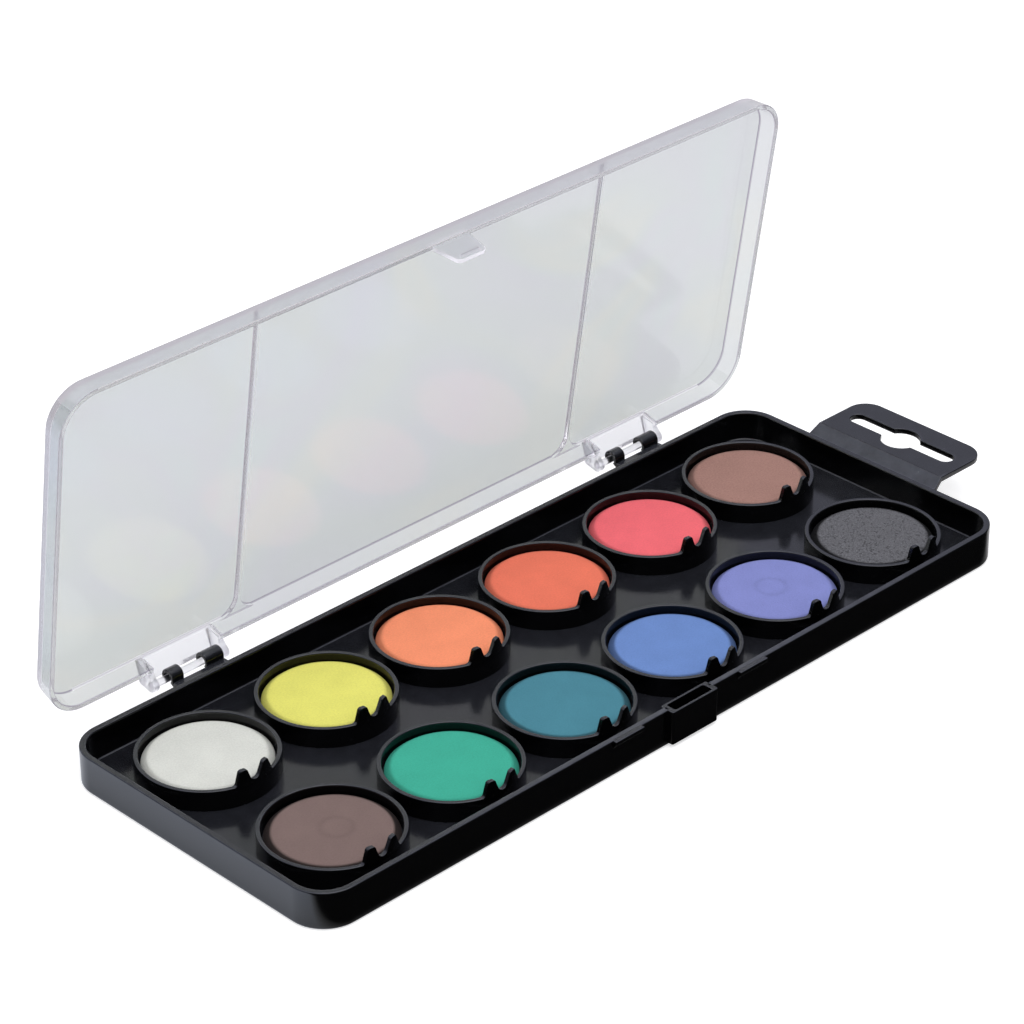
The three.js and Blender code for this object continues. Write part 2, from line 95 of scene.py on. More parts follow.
def blunt(low, high, low_rounding, high_rounding, steps=3):
    """Insets and heights up a block's side: a quarter circle out of the lower face, the straight
    side, and a quarter circle into the upper face. No rounding is a single corner."""
    t = np.linspace(0, np.pi / 2, steps + 1)
    inset, rise = 1 - np.sin(t), 1 - np.cos(t)
    lower, upper = [[0, low]], [[0, high]]
    if low_rounding:
        lower = np.stack([low_rounding * inset, low + low_rounding * rise], 1)
    if high_rounding:
        upper = np.stack([high_rounding * inset, high - high_rounding * rise], 1)[::-1]
    return np.concatenate([lower, upper])


def rings(outline, profile):
    """One copy of the outline for each pair in the profile, with every side moved inwards by the
    pair's inset (each point along the mean of its two sides' normals) and up to its height."""
    side = np.roll(outline, -1, 0) - outline
    side /= np.linalg.norm(side, axis=1)[:, None]
    inward = np.stack([-side[:, 1], side[:, 0]], 1)
    before = np.roll(inward, 1, 0)
    mean = (inward + before) / (1 + (inward * before).sum(1))[:, None]
    flat = outline + profile[:, 0, None, None] * mean
    height = np.broadcast_to(profile[:, 1, None, None], flat.shape[:2] + (1,))
    return np.concatenate([flat, height], 2)


def skin(grid, closed=False):
    """A face between every two neighbouring points of every two neighbouring rings. The first
    and the last ring are filled, or joined to each other where the rings close on themselves."""
    index = np.arange(grid.shape[0] * grid.shape[1]).reshape(grid.shape[:2])
    lower = index if closed else index[:-1]
    upper = np.roll(index, -1, 0) if closed else index[1:]
    faces = np.stack([lower, np.roll(lower, -1, 1), np.roll(upper, -1, 1), upper], 2)
    ends = [] if closed else [index[0, ::-1].tolist(), index[-1].tolist()]
    return grid.reshape(-1, 3), faces.reshape(-1, 4).tolist() + ends


def block(outline, low, high, rounding):
    """The outline raised from low to high, with its edges rounded."""
    return skin(rings(outline, blunt(low, high, rounding, rounding)))


def along_x(shell):
    """A shell drawn in Y and Z, with its height laid along X."""
    points, faces = shell
    return points[:, [2, 0, 1]], faces


def moved(shell, x=0, y=0, z=0):
    """The shell, with every point shifted alike."""
    return shell[0] + np.array([x, y, z]), shell[1]


def joined(shells):
    """All the shells' points and faces in one list, in order."""
    starts = np.cumsum([0] + [len(points) for points, _ in shells])
    points = np.concatenate([points for points, _ in shells])
    faces = [[i + start for i in face] for (_, some), start in zip(shells, starts) for face in some]
    return points, faces


def plain_mesh(name, shell):
    """A mesh in metres of a shell in millimetres."""
    mesh = bpy.data.meshes.new(name)
    mesh.from_pydata((shell[0] * 0.001).tolist(), [], shell[1])
    mesh.update()
    return mesh


def mark_edges(mesh):
    """Edge attribute: 0 where the faces round a point lie flat, rising to 1 as they turn away
    from each other. It is 1 less the length of the mean of their normals, scaled and capped."""
    loops, faces = len(mesh.loops), len(mesh.polygons)
    corner = np.zeros(loops, int)
    mesh.loops.foreach_get("vertex_index", corner)
    count = np.zeros(faces, int)
    mesh.polygons.foreach_get("loop_total", count)
    normal = np.zeros(faces * 3)
    mesh.polygons.foreach_get("normal", normal)
    total = np.zeros((len(mesh.vertices), 3))
    np.add.at(total, corner, np.repeat(normal.reshape(-1, 3), count, 0))
    shared = np.maximum(np.bincount(corner, minlength=len(total)), 1)
    spread = 1 - np.linalg.norm(total, axis=1) / shared
    mesh.attributes.new("edge", "FLOAT", "POINT").data.foreach_set("value", np.clip(spread * 20, 0, 1))


def put(name, mesh, material, body, node, flat=False):
    """The finished piece: smooth but for its sharp edges and for the faces given as flat, riding
    on its body in place of its node."""
    mesh.set_sharp_from_angle(angle=np.radians(38))
    mesh.polygons.foreach_set("use_smooth", np.ones(len(mesh.polygons), bool) & ~np.array(flat))
    mark_edges(mesh)
    mesh.materials.append(material)
    piece = bpy.data.objects.new(name, mesh)
    bpy.context.scene.collection.objects.link(piece)
    smooth = piece.modifiers.new("even_normals", "WEIGHTED_NORMAL")
    smooth.keep_sharp = True
    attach(piece, body)
    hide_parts(node)


def tray_walls():
    """The section of foot, wall, rim and fillet, carried round the tray. Within the latch block
    the wall stops at the floor, so that the pocket is open."""
    outline = rounded_rectangle(TRAY_LENGTH, TRAY_WIDTH, TRAY_CORNER)
    outside, inside = WALL_GAP / 2 + 0.1, WALL_GAP / 2 - 0.1
    ends = [(x, -TRAY_WIDTH / 2) for x in (-outside, -inside, inside, outside)]
    top, wall, fillet = TRAY_HEIGHT, TRAY_WALL, FLOOR_FILLET
    foot, outer, inner = FOOT_ROUNDING, RIM_OUTER_ROUNDING, RIM_INNER_ROUNDING
    section = np.concatenate([
        [(foot + FLAT_HOLD, 0)],
        arc((foot, foot), foot, -90, -180, 5),
        [(0, foot + SIDE_HOLD), (0, top - outer - SIDE_HOLD)],
        arc((outer, top - outer), outer, 180, 90, 4),
        arc((wall - inner, top - inner), inner, 90, 0, 5),
        [(wall, top - inner - SIDE_HOLD), (wall, TRAY_FLOOR + fillet + SIDE_HOLD)],
        arc((wall + fillet, TRAY_FLOOR + fillet), fillet, 180, 270, 4),
        [(wall + fillet + FLAT_HOLD, TRAY_FLOOR)],
    ])
    grid = rings(np.concatenate([outline, ends]), section)
    in_latch = (np.abs(grid[0, :, 0]) < WALL_GAP / 2) & (grid[0, :, 1] < 0)
    grid[:, in_latch, 2] = np.minimum(grid[:, in_latch, 2], TRAY_FLOOR)
    return skin(grid)


def latch_block():
    """Up the outside of the block, over its edge, and down into the pocket."""
    centre = (0, LATCH_FRONT + LATCH_DEPTH / 2)
    outside = rounded_rectangle(LATCH_LENGTH, LATCH_DEPTH, LATCH_CORNER, 4, centre)
    inside = rounded_rectangle(POCKET_LENGTH, POCKET_WIDTH, POCKET_CORNER, 4, centre)
    up = rings(outside, blunt(LATCH_BOTTOM, TRAY_HEIGHT, LATCH_FOOT_ROUNDING, LATCH_RIM_ROUNDING))
    down = rings(inside, blunt(POCKET_BOTTOM, TRAY_HEIGHT, 0, LATCH_RIM_ROUNDING)[::-1] * [-1, 1])
    return skin(np.concatenate([up, down]))


def ledge(x):
    """A lip level with the rim and the slope under it, drawn along X."""
    wall, lip, foot = -TRAY_WIDTH / 2, TRAY_HEIGHT - LEDGE_LIP, TRAY_HEIGHT - LEDGE_DROP
    outline = eased([(wall + SINK, foot), (wall + SINK, TRAY_HEIGHT), (wall - LEDGE_REACH, TRAY_HEIGHT),
                     (wall - LEDGE_REACH, lip), (wall, foot)], LEDGE_CUTS)
    return along_x(block(outline, x - LEDGE_LENGTH / 2, x + LEDGE_LENGTH / 2, LEDGE_ROUNDING))


def hinge(x):
    """Two hooks over the pin, each a broken ring drawn along X, on a sloped shelf."""
    r, shells = HOOK_RADIUS, []
    for start, width, lip in HOOKS:
        outer = arc((0, HOOK_RISE), r, 180, lip, 18)
        inner = arc((0, 0), HOOK_BORE, lip, 230, 18)
        foot = [(-r - SINK, -r), (-r - SINK, -HOOK_FOOT), (-r, -HOOK_FOOT)]
        outline = np.concatenate([foot, outer, inner])[::-1]
        shells.append(along_x(block(outline, start, start + width, HOOK_ROUNDING)))
    wall, root = TRAY_WIDTH / 2 - HINGE_Y, TRAY_WIDTH / 2 - HINGE_Y - TRAY_WALL / 2
    shelf = eased([(root, -SHELF_DROP), (wall, -SHELF_DROP), (-r, -r), (-r, -SHELF_TOP), (root, -SHELF_TOP)],
                  SHELF_CUTS)
    start, end = HOOKS[0][0], HOOKS[-1][0] + HOOKS[-1][1]
    shells.append(along_x(block(shelf, start, end, SHELF_ROUNDING)))
    return moved(joined(shells), x, HINGE_Y, TRAY_HEIGHT)


def cross(p, q):
    """The area with its sign that each vector of p spans with its fellow in q."""
    return p[:, 0] * q[:, 1] - p[:, 1] * q[:, 0]


def from_slot(outline, angle):
    """How far each ray from the slot's middle goes to the outline. A ray at the given angle
    crosses the one side whose two ends lie on either side of it."""
    ends = np.roll(outline, -1, 0)
    bearing = np.arctan2(outline[:, 1], outline[:, 0])
    order = np.argsort(bearing)
    side = order[np.searchsorted(bearing[order], angle, side="right") - 1]
    a, b = outline[side], ends[side]
    ray = np.stack([np.cos(angle), np.sin(angle)], 1)
    return cross(a, b - a) / cross(ray, b - a)


def slot_outline(growth):
    """A long slot with two round ends and a round bulge, grown on all sides. The bulge meets
    each straight side where its circle crosses it."""
    bulge, half, middle = SLOT_BULGE + growth, SLOT_HALF + growth, (-BULGE_SHIFT, 0)
    right, left = np.degrees(np.arccos(((half + BULGE_SHIFT) / bulge, (half - BULGE_SHIFT) / bulge)))
    return np.concatenate([
        arc(middle, bulge, -right, right, 12), arc((0, SLOT_END), half, 0, 180, 12),
        arc(middle, bulge, 180 - left, 180 + left, 12), arc((0, -SLOT_END), half, 180, 360, 12),
    ])


def plate_outline(inset):
    """The plate about the slot's middle, inset on its three free sides, with two round corners.
    Its fourth side runs a tenth of a millimetre into the slope."""
    near, far = TAB_SLOPE - SLOT_REACH - 0.1 + 0.1 * inset, TAB_REACH - SLOT_REACH - inset
    half, r = TAB_PLATE - inset, TAB_CORNER - inset
    return np.concatenate([
        arc((far - r, r - half), r, -90, 0, 12), arc((far - r, half - r), r, 0, 90, 12),
        [(near, half), (near, -half)],
    ])


def hang_tab():
    """The slope is a flat bar's section carried from the wall to the fold. The plate is a band
    of rings about the slot: across below, round the edge, across the top and down the slot."""
    x0, low, high = TRAY_LENGTH / 2, TRAY_HEIGHT + TAB_LIFT - TAB_THICKNESS, TRAY_HEIGHT + TAB_LIFT
    bar = []
    stations = ((x0 - SINK, TAB_FOOT, 0), (x0, TAB_FOOT, 0), (x0 + TAB_SLOPE, TAB_PLATE, TAB_LIFT))
    for x, half, lift in stations:
        middle = (0, TRAY_HEIGHT + lift - TAB_THICKNESS / 2)
        section = rounded_rectangle(2 * half, TAB_THICKNESS, TAB_ROUNDING, 5, middle)
        bar.append(np.column_stack([np.full(len(section), x), section]))
    corners = np.concatenate([plate_outline(0), slot_outline(0), slot_outline(2 * TAB_ROUNDING)])
    angle = np.unique(np.round(np.arctan2(corners[:, 1], corners[:, 0]), 3))
    angle = np.unique(np.concatenate([angle, (angle[:-1] + angle[1:]) / 2]))
    ray = np.stack([np.cos(angle), np.sin(angle)], 1)
    edge = blunt(low, high, TAB_ROUNDING, TAB_ROUNDING)
    section = np.concatenate([[(TAB_BAND, low)], edge, [(TAB_BAND, high)]])
    band = []
    for outline, rows in ((plate_outline, section), (slot_outline, section[::-1])):
        for inset, z in rows:
            flat = from_slot(outline(inset), angle)[:, None] * ray
            band.append(np.column_stack([flat, np.full(len(angle), z)]))
    plate = moved(skin(np.stack(band), closed=True), x0 + SLOT_REACH)
    return joined([skin(np.stack(bar)), plate])


def floor_keys():
    """A low round boss with a flat front under each pan, which holds the pan straight."""
    outline = arc((0, 0), KEY_RADIUS, -KEY_CUT, 180 + KEY_CUT, 24)
    key = block(outline, KEY_BOTTOM, KEY_TOP, KEY_ROUNDING)
    return [moved(key, x, y) for x, y in pan_places]


def group(name, inputs, outputs):
    """A new shader node group, with its sockets and its two end nodes."""
    tree = bpy.data.node_groups.new(name, "ShaderNodeTree")
    for socket, kind, value in inputs:
        made = tree.interface.new_socket(socket, in_out="INPUT", socket_type="NodeSocket" + kind)
        made.default_value = value
    for socket, kind in outputs:
        tree.interface.new_socket(socket, in_out="OUTPUT", socket_type="NodeSocket" + kind)
    return tree, tree.nodes.new("NodeGroupInput"), tree.nodes.new("NodeGroupOutput")


def add(tree, kind, settings=None, **inputs):
    """A node of that kind, with its settings, and each input set or linked. An input goes by
    its name, or by i and its number."""
    made = tree.nodes.new("ShaderNode" + kind)
    for key, value in (settings or {}).items():
        setattr(made, key, value)
    for key, value in inputs.items():
        numbered = key[0] == "i" and key[1:].isdigit()
        socket = made.inputs[int(key[1:]) if numbered else key.replace("_", " ")]
        if isinstance(value, bpy.types.NodeSocket):
            tree.links.new(value, socket)
        else:
            socket.default_value = value
    return made


def maths(tree, operation, *values, clamp=False):
    """What a Math node makes of the values, each a number or a socket."""
    inputs = {f"i{index}": value for index, value in enumerate(values)}
    return add(tree, "Math", {"operation": operation, "use_clamp": clamp}, **inputs).outputs[0]


def mapped(tree, value, start, end, low, high):
    """The value with its start turned into low and its end into high, and held between them."""
    made = add(tree, "MapRange", Value=value, From_Min=start, From_Max=end, To_Min=low, To_Max=high)
    return made.outputs[0]


def blended(tree, share, first, second):
    """The first colour where the share is 0, and the second where it is 1."""
    return add(tree, "Mix", {"data_type": "RGBA"}, i0=share, i6=first, i7=second).outputs[2]


def attribute(tree, name):
    """What the mesh says of each of its points or faces under that name."""
    return add(tree, "Attribute", {"attribute_name": name}).outputs["Fac"]


def moulding_group():
    """Moulded plastic: long faint ripples where the melt shrank, a fine grain, dull specks of
    dust, and, on faces that look up, a thin pale layer and paler edges, partly dust and wear and
    partly painted sheen. Puts out a mask of what is pale, a roughness and a normal."""
    tree, given, out = group(
        "moulded_plastic",
        [("Roughness", "Float", 0.3), ("Grain", "Float", 0.1), ("Dust", "Float", 0.5)],
        [("Pale mask", "Float"), ("Roughness", "Float"), ("Normal", "Vector")])
    place = add(tree, "TexCoord").outputs["Object"]
    edge = attribute(tree, "edge")
    normal = add(tree, "SeparateXYZ", Vector=add(tree, "NewGeometry").outputs["Normal"])
    up = mapped(tree, normal.outputs["Z"], 0.3, 0.9, 0, 1)
    ripple = add(tree, "TexNoise", Vector=place, Scale=90, Detail=2).outputs["Fac"]
    grain = add(tree, "TexNoise", Vector=place, Scale=3800, Detail=3).outputs["Fac"]
    haze = add(tree, "TexNoise", Vector=place, Scale=240, Detail=6, Roughness=0.65).outputs["Fac"]
    speck = add(tree, "TexVoronoi", Vector=place, Scale=620)
    near = maths(tree, "LESS_THAN", speck.outputs["Distance"], 0.13)
    rare = maths(tree, "GREATER_THAN", speck.outputs["Color"], 0.86)
    dust = maths(tree, "MULTIPLY", near, rare)
    dust = maths(tree, "MULTIPLY", dust, given.outputs["Dust"])
    rough = maths(tree, "ADD", given.outputs["Roughness"], mapped(tree, haze, 0, 1, -0.04, 0.06))
    rough = maths(tree, "MULTIPLY_ADD", edge, 0.1, rough)
    rough = maths(tree, "MULTIPLY_ADD", dust, 0.4, rough, clamp=True)
    slow = add(tree, "Bump", Strength=0.05, Distance=0.0006, Height=ripple)
    fine = add(tree, "Bump", Strength=given.outputs["Grain"], Distance=0.00004,
               Height=grain, Normal=slow.outputs[0])
    # Paler edges and a pale layer on faces that look up: partly wear and dust, partly painted sheen of the
    # light above.
    wear_and_sheen = mapped(tree, haze, 0.3, 0.7, 0.08, 0.15)
    dust_and_sheen_layer = mapped(tree, haze, 0.3, 0.7, 0.033, 0.053)
    pale = maths(tree, "MULTIPLY_ADD", wear_and_sheen, edge, dust_and_sheen_layer)
    pale = maths(tree, "MULTIPLY_ADD", pale, up, dust)
    for key, made in (("Pale mask", pale), ("Roughness", rough), ("Normal", fine.outputs[0])):
        tree.links.new(made, out.inputs[key])
    return tree


def shader(name):
    """A new material with a Principled shader, its tree and the shader."""
    material = bpy.data.materials.new(name)
    material.use_nodes = True
    return material, material.node_tree, material.node_tree.nodes["Principled BSDF"]


def finished(tree, bsdf, effect, **values):
    """The effect's group in the material, with its own values, and with its roughness and its
    normal in the shader."""
    made = tree.nodes.new("ShaderNodeGroup")
    made.node_tree = effect
    for key, value in values.items():
        made.inputs[key.replace("_", " ")].default_value = value
    for key in ("Roughness", "Normal"):
        tree.links.new(made.outputs[key], bsdf.inputs[key])
    return made


def black_plastic(name, roughness, grain):
    """Black polystyrene: the moulded surface, grey on the specks of dust, and paler on edges and
    faces that look up: partly wear and dust, partly painted sheen.
    """
    material, tree, bsdf = shader(name)
    made = finished(tree, bsdf, moulded_plastic, Roughness=roughness, Grain=grain, Dust=0.03)
    colour = blended(tree, made.outputs["Pale mask"], (0.0008, 0.0008, 0.001, 1), (0.32, 0.34, 0.44, 1))
    tree.links.new(colour, bsdf.inputs["Base Color"])
    bsdf.inputs["IOR"].default_value = 1.55
    return material


moulded_plastic = moulding_group()
tray_black = black_plastic("tray_black", 0.15, 0.1)
tray_shells = [tray_walls(), latch_block(), hang_tab(), *floor_keys()]
tray_shells += [ledge(x) for x in (-LEDGE_OFFSET, LEDGE_OFFSET)]
tray_shells += [hinge(x) for x in (-HINGE_OFFSET, HINGE_OFFSET)]
tray_mesh = plain_mesh("tray_moulding", joined(tray_shells))
put("tray_moulding", tray_mesh, tray_black, "tray", "tray")

# Pans
# Twelve loose cups of the same black polystyrene, pressed over the keys on the tray's floor.
# Each has a thin wall with a rounded rim, and two blunt teeth on its front to wipe a brush on.

PAN_RADIUS, PAN_WALL, PAN_HEIGHT, PAN_INSIDE = 14.85, 1, 4.6, 1.3
PAN_LIP, PAN_HOLD, PAN_FILLET, PAN_FOOT = 0.28, 0.55, 0.3, 0.06
RECESS_RADIUS, RECESS_HEIGHT = 4.2, 0.6
COMB_HEIGHT, COMB_LEFT, COMB_RIGHT, COMB_FOOT, COMB_ROUNDING = 3.4, -4.9, 5.28, 0.6, 0.15
LEFT_TOOTH, RIGHT_TOOTH, SHOULDER = (-3.095, -2.545), (2.425, 2.975), 0.65
VALLEY_X, VALLEY_RADIUS, VALLEY_HEIGHT = -0.2, 1.2, 0.44
COMB_INSET, COMB_DEPTH = 0.02, 0.5
TURN_STEPS, NEAR_AXIS = 96, 0.01
PAINTS = ["white", "yellow", "orange", "vermilion", "crimson", "light_brown",
          "dark_brown", "green", "teal", "blue", "violet", "black"]


def turned(profile):
    """The profile of radii and heights, turned round the Z axis. Its first and last points lie
    close to the axis, or at a recess, and their small rings are filled."""
    angle = np.linspace(0, 2 * np.pi, TURN_STEPS, endpoint=False)
    radius, height = profile[:, :1], profile[:, 1:]
    grid = np.stack([radius * np.cos(angle), radius * np.sin(angle), height + 0 * angle], 2)
    return skin(grid)


def cup():
    """Under the pan and up its wall, over the rounded rim, down inside and across its floor."""
    r, inside, top, floor = PAN_RADIUS, PAN_RADIUS - PAN_WALL, PAN_HEIGHT, PAN_INSIDE
    return turned(np.concatenate([
        [(RECESS_RADIUS, RECESS_HEIGHT), (RECESS_RADIUS, 0), (r - PAN_FOOT, 0), (r, PAN_FOOT)],
        [(r, SIDE_HOLD), (r, top - PAN_HOLD)],
        arc((r - PAN_LIP, top - PAN_LIP), PAN_LIP, 0, 90, 4),
        arc((inside + PAN_LIP, top - PAN_LIP), PAN_LIP, 90, 180, 4),
        [(inside, top - PAN_HOLD), (inside, floor + 2 * PAN_FILLET)],
        arc((inside - PAN_FILLET, floor + PAN_FILLET), PAN_FILLET, 0, -90, 3),
        [(NEAR_AXIS, floor)],
    ]))


def comb():
    """The teeth's outline, drawn from right to left, is carried from the outer face over the
    rounded edge to the inner face, and down from both into the rim. A point at depth d and place
    x lies on the pan at y = -sqrt((radius - d)^2 - x^2)."""
    tip, valley, foot = COMB_HEIGHT - SHOULDER, VALLEY_HEIGHT + VALLEY_RADIUS, COMB_FOOT
    outline = np.concatenate([
        arc((COMB_RIGHT, foot), foot, 270, 205, 5),
        arc((RIGHT_TOOTH[1], tip), SHOULDER, 24, 90, 6), arc((RIGHT_TOOTH[0], tip), SHOULDER, 90, 170, 7),
        arc((VALLEY_X, valley), VALLEY_RADIUS, -20, -168, 12),
        arc((LEFT_TOOTH[1], tip), SHOULDER, 10, 90, 7), arc((LEFT_TOOTH[0], tip), SHOULDER, 90, 168, 7),
        arc((COMB_LEFT, foot), foot, -12, -90, 5),
    ])
    over = rings(outline, blunt(COMB_INSET, PAN_WALL - COMB_INSET, COMB_ROUNDING, COMB_ROUNDING, 4))
    down = over[[-1, 0]] * [1, 0, 1] - [0, COMB_DEPTH, 0]
    x, z, depth = np.concatenate([over, down]).transpose(2, 1, 0)
    y = -np.sqrt((PAN_RADIUS - depth) ** 2 - x ** 2)
    return skin(np.stack([x, y, PAN_HEIGHT + z], 2))


pan_black = black_plastic("pan_black", 0.16, 0.12)
pan_shell = joined([cup(), comb()])
for name, (x, y) in zip(PAINTS, pan_places):
    pan_mesh = plain_mesh("cup_" + name, moved(pan_shell, x, y, TRAY_FLOOR))
    put("cup_" + name, pan_mesh, pan_black, "tray", "pan_" + name)

# Tablets
# A pressed tablet of dry watercolour lies in each pan. Its edge is bevelled and a little
# crumbled, its top is powdery, and two of the paints still show the round mark of the press.

TABLET_RADIUS, TABLET_HEIGHT, BEVEL_RUN, BEVEL_DROP, CROWN = 13.4, 2.3, 1.3, 1, 0.1
MARK_DEPTH, MARK_RADIUS, MARK_WIDTH = 0.05, 3.3, 0.65
MARK_PLACES = {"dark_brown": (1.6, 0.1), "violet": (0.1, 1.6)}
COLOURS = {
    "white": "d9dad5", "yellow": "e6e273", "orange": "f9956f", "vermilion": "ed7960",
    "crimson": "f36d76", "light_brown": "a67f76", "dark_brown": "7a6764", "green": "3eab94",
    "teal": "488395", "blue": "6a89c6", "violet": "8289c8", "black": "6c6c72",
}
COARSENESS = {"black": 1.5, "light_brown": 0.6}
# The share of each paint's colour that the painted shade at its bevel leaves, and 0.8 for the others.
BEVEL_PAINTED_SHADES = {"light_brown": 0.65, "dark_brown": 0.12, "teal": 0.45, "blue": 0.5, "black": 0.05}


def tablet(mark_depth, mark_place):
    """Radii and heights from the underside, up the side, the bevel and the eased edge, and
    across the top, which swells by the crown in its middle. It may carry a shallow round mark.
    Towards the middle the top's rings shift to the mark's place. The last list is each point's
    share in the mark, exp(-((radius - the mark's) / its width)^2), and the one before it its
    share in the bevel, which rises from 0 to 1 in the last half millimetre of the top."""
    r, h = TABLET_RADIUS, TABLET_HEIGHT
    edge, drop = r - BEVEL_RUN, h - BEVEL_DROP
    side = [(NEAR_AXIS, 0), (r - 0.2, 0), (r, 0.2), (r, drop - 0.12), (r - 0.1, drop + 0.06)]
    ease = [(edge + 0.25, h - 0.17), (edge + 0.08, h - 0.07), (edge - 0.15, h - 0.02), (edge - 0.5, h)]
    across = [np.linspace(edge - 1, 5, 6), np.linspace(4.7, 2, 19), np.linspace(1.6, NEAR_AXIS, 4)]
    radius = np.concatenate(across)
    top = np.stack([radius, h + CROWN * (1 - (radius / edge) ** 2)], 1)
    profile = np.concatenate([side, ease, top])
    mark = np.exp(-((profile[:, 0] - MARK_RADIUS) / MARK_WIDTH) ** 2)
    profile[:, 1] -= mark_depth * mark
    points, faces = turned(profile)
    off = np.clip(1 - profile[:, 0] / edge, 0, 1) * (profile[:, 1] > h - 0.2)
    points[:, :2] += np.repeat(off, TURN_STEPS)[:, None] * mark_place
    bevel = np.clip((profile[:, 0] - edge + 0.4) / 0.5, 0, 1)
    marked = mark * (mark_depth > 0)
    return (points, faces), np.repeat(bevel, TURN_STEPS), np.repeat(marked, TURN_STEPS)


def paint_group():
    """Pressed powder: clouds and a fine grain in the colour, painted shade at the bevel, darker in
    the press mark, with small pits and a rough, dry surface. Puts out a colour, a roughness and a
    normal."""
    tree, given, out = group(
        "pressed_paint",
        [("Color", "Color", (0.5, 0.5, 0.5, 1)), ("Coarseness", "Float", 0.3),
         ("Bevel shade", "Float", 0.85)],
        [("Color", "Color"), ("Roughness", "Float"), ("Normal", "Vector")])
    place = add(tree, "TexCoord").outputs["Object"]
    coarse = given.outputs["Coarseness"]
    cloud = add(tree, "TexNoise", Vector=place, Scale=160, Detail=4).outputs["Fac"]
    grain = add(tree, "TexNoise", Vector=place, Scale=2600, Detail=5, Roughness=0.7).outputs["Fac"]
    pits = add(tree, "TexVoronoi", Vector=place, Scale=1500).outputs["Distance"]
    pit = mapped(tree, pits, 0.1, 0.3, 1, 0)
    speckle = maths(tree, "MULTIPLY", mapped(tree, grain, 0.3, 0.7, -0.3, 0.3), coarse)
    # Painted shade: the colour darkens over the bevel, where the pan's black wall shades it.
    dark = mapped(tree, attribute(tree, "bevel"), 0, 1, 1, given.outputs["Bevel shade"])
    # The colour is a little darker in the press mark.
    darker_in_mark = mapped(tree, attribute(tree, "mark"), 0, 1, 1, 0.91)
    tone = maths(tree, "ADD", mapped(tree, cloud, 0.3, 0.7, 0.96, 1.04), speckle)
    tone = maths(tree, "MULTIPLY", tone, dark)
    tone = maths(tree, "MULTIPLY", tone, darker_in_mark)
    shade = add(tree, "VectorMath", {"operation": "SCALE"}, i0=given.outputs["Color"], Scale=tone)
    relief = maths(tree, "SUBTRACT", grain, pit)
    bump = add(tree, "Bump", Strength=coarse, Distance=0.00025, Height=relief)
    rough = mapped(tree, grain, 0, 1, 0.8, 1)
    for key, made in (("Color", shade.outputs[0]), ("Roughness", rough), ("Normal", bump.outputs[0])):
        tree.links.new(made, out.inputs[key])
    return tree


def paint(name):
    """Dry paint of one colour, written as it looks on a screen and turned into the light that
    it stands for. The black is the coarsest."""
    material, tree, bsdf = shader("paint_" + name)
    value = np.array([int(COLOURS[name][i:i + 2], 16) / 255 for i in (0, 2, 4)])
    light = np.where(value > 0.04045, ((value + 0.055) / 1.055) ** 2.4, value / 12.92)
    made = finished(tree, bsdf, pressed_paint, Color=(*light, 1), Coarseness=COARSENESS.get(name, 0.28),
                    Bevel_shade=BEVEL_PAINTED_SHADES.get(name, 0.8))
    tree.links.new(made.outputs["Color"], bsdf.inputs["Base Color"])
    bsdf.inputs["Specular IOR Level"].default_value = 0.25
    return material


pressed_paint = paint_group()
for name, (x, y) in zip(PAINTS, pan_places):
    mark_depth = MARK_DEPTH if name in MARK_PLACES else 0
    shell, bevel, mark = tablet(mark_depth, MARK_PLACES.get(name, (0, 0)))
    mesh = plain_mesh("paint_" + name, moved(shell, x, y, TRAY_FLOOR + PAN_INSIDE))
    for key, values in (("bevel", bevel), ("mark", mark)):
        mesh.attributes.new(key, "FLOAT", "POINT").data.foreach_set("value", values)
    put("paint_" + name, mesh, paint(name), "tray", "tablet_" + name)

# Lid
# The lid is one moulding in clear polystyrene: a plate with leaning walls, two ribs that part
# its three mixing wells, a latch tongue, and two lugs whose pins turn in the tray's hooks.

# The lid is drawn shut, about the hinge axis, and then turned open by its angle.
LID_LENGTH, LID_WIDTH, LID_CORNER, LID_ANGLE = 200.8, 77.5, 9, 81.2
LID_TOP, LID_PLATE, LID_WALL, LID_GAP, LID_LEAN = 5.7, 1.1, 1.2, 0.45, 0.7
LID_BACK, LID_FRONT = -2.75, -2.75 - LID_WIDTH
RIB_OFFSET, RIB_WIDTH, RIB_HEIGHT, RIB_FLARE = 48.2, 0.8, 0.9, 4.5
TONGUE_ROOT, TONGUE_TOP, TONGUE_HALF, TONGUE_FACE, TONGUE_THICKNESS = 6, 2.5, 4.9, 79.72, 1
TIP_X, TIP_Z, TIP_RADIUS, BEAD_RADIUS, BEAD_HEIGHT = 2.6, -4.7, 1.6, 0.3, -5.1
PIN_RADIUS, LUG_HALF, EAR_WIDTH, EAR_RADIUS, EAR_STEP = 0.78, 10.05, 1.5, 1.4, 0.15
LUG_TIP, LUG_TOP, LUG_UNDER, WEB_THICKNESS = (0.6, 2.8), (-3.75, 5.4), (-4.65, 4.9), 1
EAR_FOOT = ((-3.35, 0.75), (-2.25, 0.75))
OPENING_FRONT, OPENING_BACK, OPENING_BOTTOM, OPENING_TOP = -4.95, -0.75, -2, 4.3
# Places that part the faces of the walls, the lugs and the tongue from the rest of the lid.
FRONT_WALL, BACK_WALL, END_WALL = -77.5, -5.2, 97
LUG_FRONT, TONGUE_BACK, TONGUE_RISE = -5, -78.6, 3
# How far a face's normal points up or down, from 0 to 1, and areas in square millimetres.
UPRIGHT, LEVEL, WIDE_AREA, PLATE_AREA = 0.26, 0.956, 20, 100
STRAIN_TINTS = [(0.3, (0.61, 0.645, 0.65)), (0.42, (0.615, 0.625, 0.65)), (0.52, (0.615, 0.64, 0.64)),
                (0.6, (0.635, 0.65, 0.63)), (0.7, (0.61, 0.645, 0.637))]


def lean(z):
    """How far the leaning wall has come in at height z: its slope times the rise from the rim."""
    return (z - LID_GAP) * LID_LEAN / (LID_TOP - LID_GAP)


